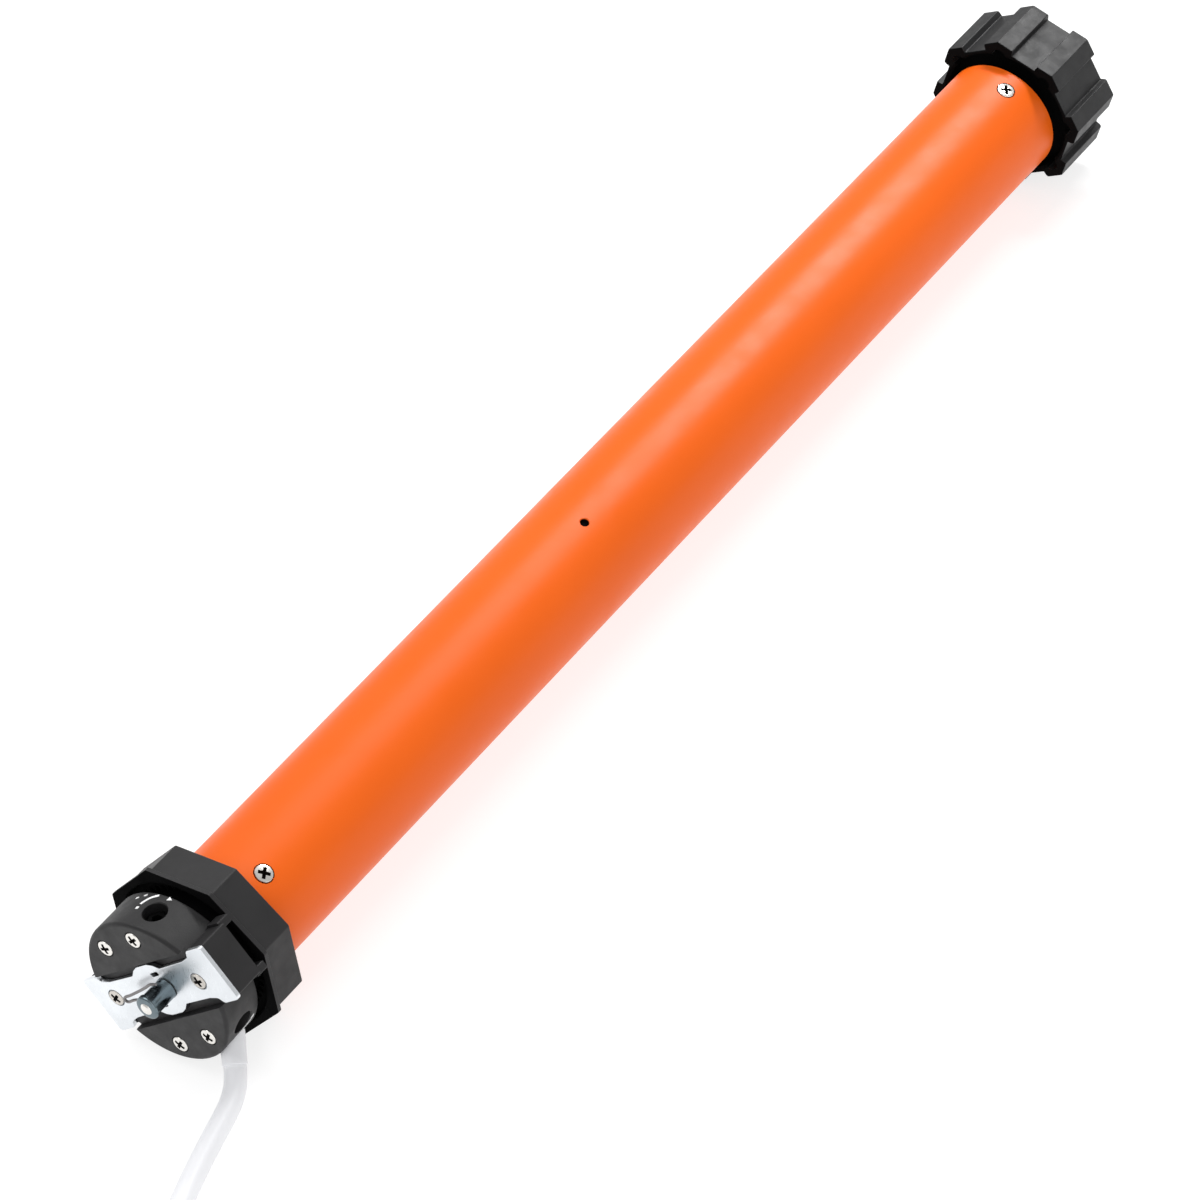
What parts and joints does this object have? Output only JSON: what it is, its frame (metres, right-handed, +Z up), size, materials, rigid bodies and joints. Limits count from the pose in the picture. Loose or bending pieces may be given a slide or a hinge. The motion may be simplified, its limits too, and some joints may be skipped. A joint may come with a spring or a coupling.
{
  "type": "roller shutter motor",
  "caption": "Tubular roller shutter motor: painted tube with head, bracket plate, crown ring, drive wheel, limit switch, brake, planetary gearbox and cable.",
  "frame": {"origin": "under the middle of the motor, on the surface it lies on; the cable and its coil are left out of the middle", "axes": "+X along the motor from the head to the drive wheel, +Z up"},
  "size_m": [0.7357, 0.0977, 0.0634],
  "materials": {
    "orange_paint": "smooth semi-gloss powder coat",
    "black_plastic": "moulded glass-filled nylon, fine grain",
    "zinc_plate": "bright zinc plated sheet",
    "bright_screw": "nickel plated cross-head screws",
    "white_plastic": "moulded white plastic",
    "blue_plastic": "moulded blue plastic",
    "grey_plastic": "moulded grey plastic",
    "machined_steel": "machined steel",
    "dark_steel": "dark oiled steel",
    "copper": "enamelled copper wire",
    "bronze": "sintered bronze",
    "friction_lining": "brake lining",
    "white_pvc": "white PVC cable sheath"
  },
  "bodies": {
    "housing": {"motor_tube": "orange_paint", "head_body": "black_plastic", "drive_end_plug": "black_plastic", "limit_switch_1": "black_plastic", "limit_switch_2": "black_plastic", "mounting_plate": "zinc_plate", "head_end_tube_screw_1": "bright_screw", "head_end_tube_screw_2": "bright_screw", "drive_end_tube_screw_1": "bright_screw", "drive_end_tube_screw_2": "bright_screw", "head_screw_1": "bright_screw", "head_screw_2": "bright_screw", "head_screw_3": "bright_screw", "head_screw_4": "bright_screw", "plate_screw_1": "bright_screw", "plate_screw_2": "bright_screw", "run_capacitor": "white_plastic", "limit_switch_frame": "grey_plastic", "capacitor_holder": "grey_plastic", "bracket_pin": "machined_steel", "brake_housing": "machined_steel", "brake_spring": "machined_steel", "brake_pressure_plate": "machined_steel", "gearbox_sleeve": "machined_steel", "front_motor_shield": "dark_steel", "rear_motor_shield": "dark_steel", "front_bearing": "dark_steel", "rear_bearing": "dark_steel", "stator_core": "dark_steel", "stator_winding_1": "copper", "stator_winding_2": "copper", "output_bush": "bronze", "cable_gland": "white_pvc", "cable_lead": "white_pvc", "cable_coil": "white_pvc"},
    "lock_clip": {"lock_clip": "zinc_plate"},
    "crown": {"crown_ring": "black_plastic"},
    "limit_pinion": {"limit_pinion": "white_plastic"},
    "limit_spindle_1": {"limit_spindle_1": "machined_steel"},
    "limit_spindle_2": {"limit_spindle_2": "machined_steel"},
    "limit_nut_1": {"limit_nut_1": "blue_plastic"},
    "limit_nut_2": {"limit_nut_2": "white_plastic"},
    "switch_plunger_1": {"switch_plunger_1": "white_plastic"},
    "switch_plunger_2": {"switch_plunger_2": "white_plastic"},
    "limit_adjuster_1": {"limit_adjuster_1": "black_plastic"},
    "limit_adjuster_2": {"limit_adjuster_2": "black_plastic"},
    "rotor": {"rotor": "machined_steel", "brake_disc": "friction_lining"},
    "brake_armature": {"brake_armature": "dark_steel"},
    "planet_carrier": {"planet_carrier": "machined_steel"},
    "output": {"output_shaft": "machined_steel", "drive_wheel": "black_plastic", "wheel_retaining_clip": "dark_steel"},
    "planet_1_1": {"planet_1_1": "machined_steel"},
    "planet_1_2": {"planet_1_2": "machined_steel"},
    "planet_1_3": {"planet_1_3": "machined_steel"},
    "planet_2_1": {"planet_2_1": "machined_steel"},
    "planet_2_2": {"planet_2_2": "machined_steel"},
    "planet_2_3": {"planet_2_3": "machined_steel"}
  },
  "joints": [
    {"name": "clip_swing", "type": "hinge", "parent": "housing", "child": "lock_clip", "pos_m": [-0.2725, -0.00361, 0.03421], "axis": [0, -0.8211, 0.5707], "range_deg": [-20, 20]},
    {"name": "crown_turn", "type": "hinge", "parent": "housing", "child": "crown", "pos_m": [-0.2425, 0, 0.0317], "axis": [1, 0, 0], "range_deg": [-1440, 1440]},
    {"name": "limit_pinion_turn", "type": "hinge", "parent": "housing", "child": "limit_pinion", "pos_m": [-0.246, 0.01396, 0.022], "axis": [1, 0, 0], "range_deg": [-5000, 5000]},
    {"name": "limit_spindle_1_turn", "type": "hinge", "parent": "housing", "child": "limit_spindle_1", "pos_m": [-0.246, -0.00004, 0.0217], "axis": [1, 0, 0], "range_deg": [-5000, 5000]},
    {"name": "limit_spindle_2_turn", "type": "hinge", "parent": "housing", "child": "limit_spindle_2", "pos_m": [-0.246, 0.00936, 0.03522], "axis": [1, 0, 0], "range_deg": [-5000, 5000]},
    {"name": "limit_nut_1_travel", "type": "slide", "parent": "housing", "child": "limit_nut_1", "axis": [1, 0, 0], "range_m": [-0.014, 0.014]},
    {"name": "limit_nut_2_travel", "type": "slide", "parent": "housing", "child": "limit_nut_2", "axis": [1, 0, 0], "range_m": [-0.014, 0.014]},
    {"name": "switch_plunger_1_press", "type": "slide", "parent": "housing", "child": "switch_plunger_1", "axis": [1, 0, 0], "range_m": [0, 0.0007], "stiffness_N_per_m": 400, "springref_m": -0.002},
    {"name": "switch_plunger_2_press", "type": "slide", "parent": "housing", "child": "switch_plunger_2", "axis": [1, 0, 0], "range_m": [0, 0.0007], "stiffness_N_per_m": 400, "springref_m": -0.002},
    {"name": "limit_adjuster_1_turn", "type": "hinge", "parent": "housing", "child": "limit_adjuster_1", "pos_m": [-0.2611, 0.00061, 0.05369], "axis": [0, 0.0279, 0.9996], "continuous": true},
    {"name": "limit_adjuster_2_turn", "type": "hinge", "parent": "housing", "child": "limit_adjuster_2", "pos_m": [-0.2611, -0.02074, 0.02436], "axis": [0, -0.9426, -0.3338], "continuous": true},
    {"name": "brake_release", "type": "slide", "parent": "housing", "child": "brake_armature", "axis": [-1, 0, 0], "range_m": [0, 0.0008], "stiffness_N_per_m": 2000, "springref_m": -0.002},
    {"name": "output_turn", "type": "hinge", "parent": "housing", "child": "output", "pos_m": [0.23, 0, 0.0317], "axis": [1, 0, 0], "continuous": true},
    {"name": "planet_carrier_turn", "type": "hinge", "parent": "housing", "child": "planet_carrier", "pos_m": [0.15, 0, 0.0317], "axis": [1, 0, 0], "continuous": true},
    {"name": "rotor_spin", "type": "hinge", "parent": "housing", "child": "rotor", "pos_m": [0.05, 0, 0.0317], "axis": [1, 0, 0], "continuous": true},
    {"name": "planet_1_1_spin", "type": "hinge", "parent": "planet_carrier", "child": "planet_1_1", "pos_m": [0.15, 0.0103, 0.0317], "axis": [1, 0, 0], "continuous": true},
    {"name": "planet_1_2_spin", "type": "hinge", "parent": "planet_carrier", "child": "planet_1_2", "pos_m": [0.15, -0.00515, 0.04062], "axis": [1, 0, 0], "continuous": true},
    {"name": "planet_1_3_spin", "type": "hinge", "parent": "planet_carrier", "child": "planet_1_3", "pos_m": [0.15, -0.00515, 0.02278], "axis": [1, 0, 0], "continuous": true},
    {"name": "planet_2_1_spin", "type": "hinge", "parent": "output", "child": "planet_2_1", "pos_m": [0.178, 0.0103, 0.0317], "axis": [1, 0, 0], "continuous": true},
    {"name": "planet_2_2_spin", "type": "hinge", "parent": "output", "child": "planet_2_2", "pos_m": [0.178, -0.00515, 0.04062], "axis": [1, 0, 0], "continuous": true},
    {"name": "planet_2_3_spin", "type": "hinge", "parent": "output", "child": "planet_2_3", "pos_m": [0.178, -0.00515, 0.02278], "axis": [1, 0, 0], "continuous": true}
  ],
  "couplings": [
    {"joint": "limit_pinion_turn", "follows": "crown_turn", "ratio": 3.4286},
    {"joint": "limit_spindle_1_turn", "follows": "crown_turn", "ratio": -3.4286},
    {"joint": "limit_spindle_2_turn", "follows": "crown_turn", "ratio": -3.4286},
    {"joint": "limit_nut_1_travel", "follows": "crown_turn", "m_per_rad": 0.00054567},
    {"joint": "limit_nut_2_travel", "follows": "crown_turn", "m_per_rad": -0.00054567},
    {"joint": "planet_carrier_turn", "follows": "output_turn", "ratio": 7.5},
    {"joint": "rotor_spin", "follows": "output_turn", "ratio": 56.25},
    {"joint": "planet_1_1_spin", "follows": "output_turn", "ratio": -17.727},
    {"joint": "planet_1_2_spin", "follows": "output_turn", "ratio": -17.727},
    {"joint": "planet_1_3_spin", "follows": "output_turn", "ratio": -17.727},
    {"joint": "planet_2_1_spin", "follows": "output_turn", "ratio": -2.3636},
    {"joint": "planet_2_2_spin", "follows": "output_turn", "ratio": -2.3636},
    {"joint": "planet_2_3_spin", "follows": "output_turn", "ratio": -2.3636}
  ]
}
